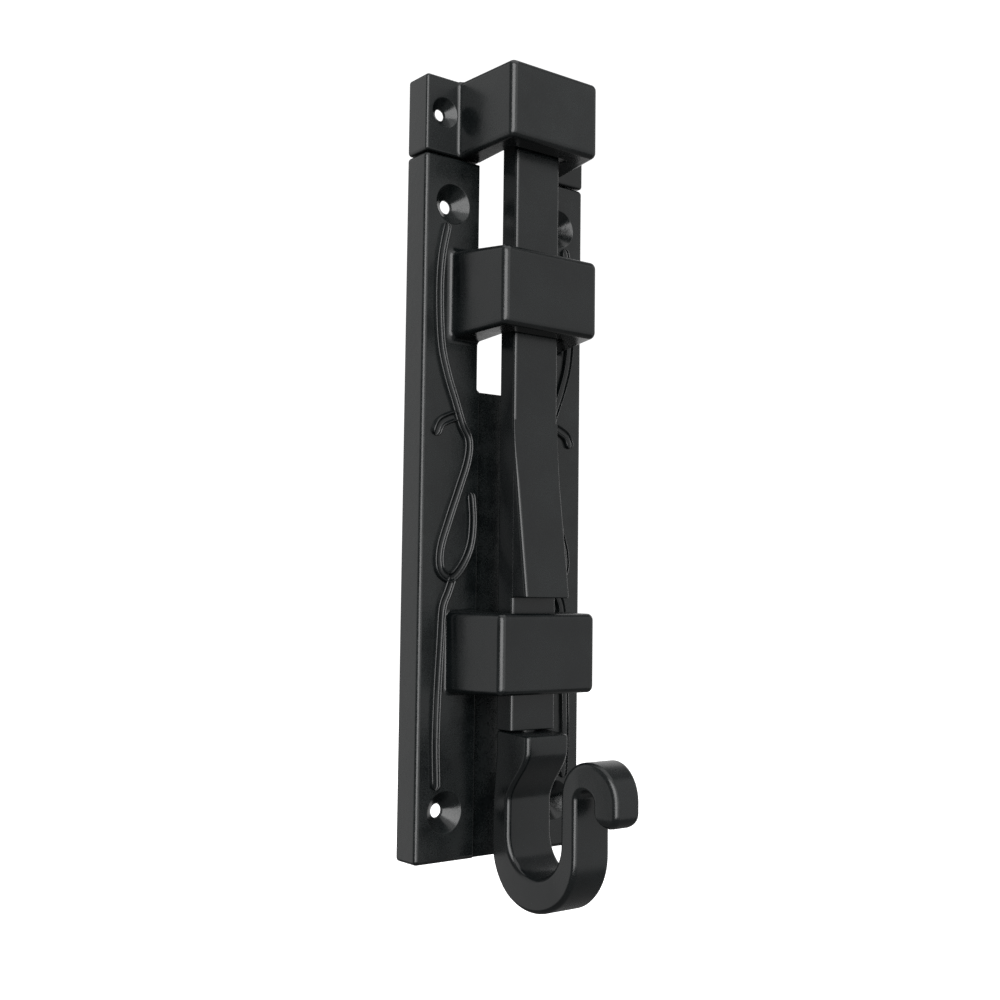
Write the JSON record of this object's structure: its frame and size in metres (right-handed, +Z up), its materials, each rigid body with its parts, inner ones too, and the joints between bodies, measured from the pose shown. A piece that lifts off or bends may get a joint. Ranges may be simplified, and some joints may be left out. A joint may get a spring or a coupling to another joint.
{
  "type": "tower bolt",
  "caption": "Vertical surface bolt: a flat bolt with a curled pull slides through two box guides on a cast back plate into a separate box keeper.",
  "frame": {"origin": "centre of the base plate's back face, which lies against the door", "axes": "+Z up along the bolt towards the keeper, -Y out of the front of the plate, +X to the right seen from the front"},
  "size_m": [0.06, 0.0634, 0.2384],
  "materials": {
    "black_plate": "semi-gloss black coating over a fine sand-cast skin",
    "black_relief": "semi-gloss black coating, rounded raised bead",
    "black_guide": "semi-gloss black coating, soft rounded edges",
    "black_bar": "semi-gloss black coating, smoother ground faces",
    "black_handle": "semi-gloss black coating on a hand-curled strip",
    "dark_steel": "thin black coating over steel"
  },
  "bodies": {
    "fixed": {"base_plate": "black_plate", "left_vine": "black_relief", "right_vine": "black_relief", "upper_guide": "black_guide", "lower_guide": "black_guide", "keeper": "black_guide"},
    "bolt": {"bolt_bar": "black_bar", "ramp_block": "black_bar", "ramp_pins": "dark_steel", "upper_shoe": "dark_steel", "lower_shoe": "dark_steel", "shoe_pins": "dark_steel", "curl_handle": "black_handle"}
  },
  "joints": [
    {"name": "bolt_slide", "type": "slide", "parent": "fixed", "child": "bolt", "axis": [0, 0, 1], "range_m": [-0.0038, 0.0099]}
  ]
}
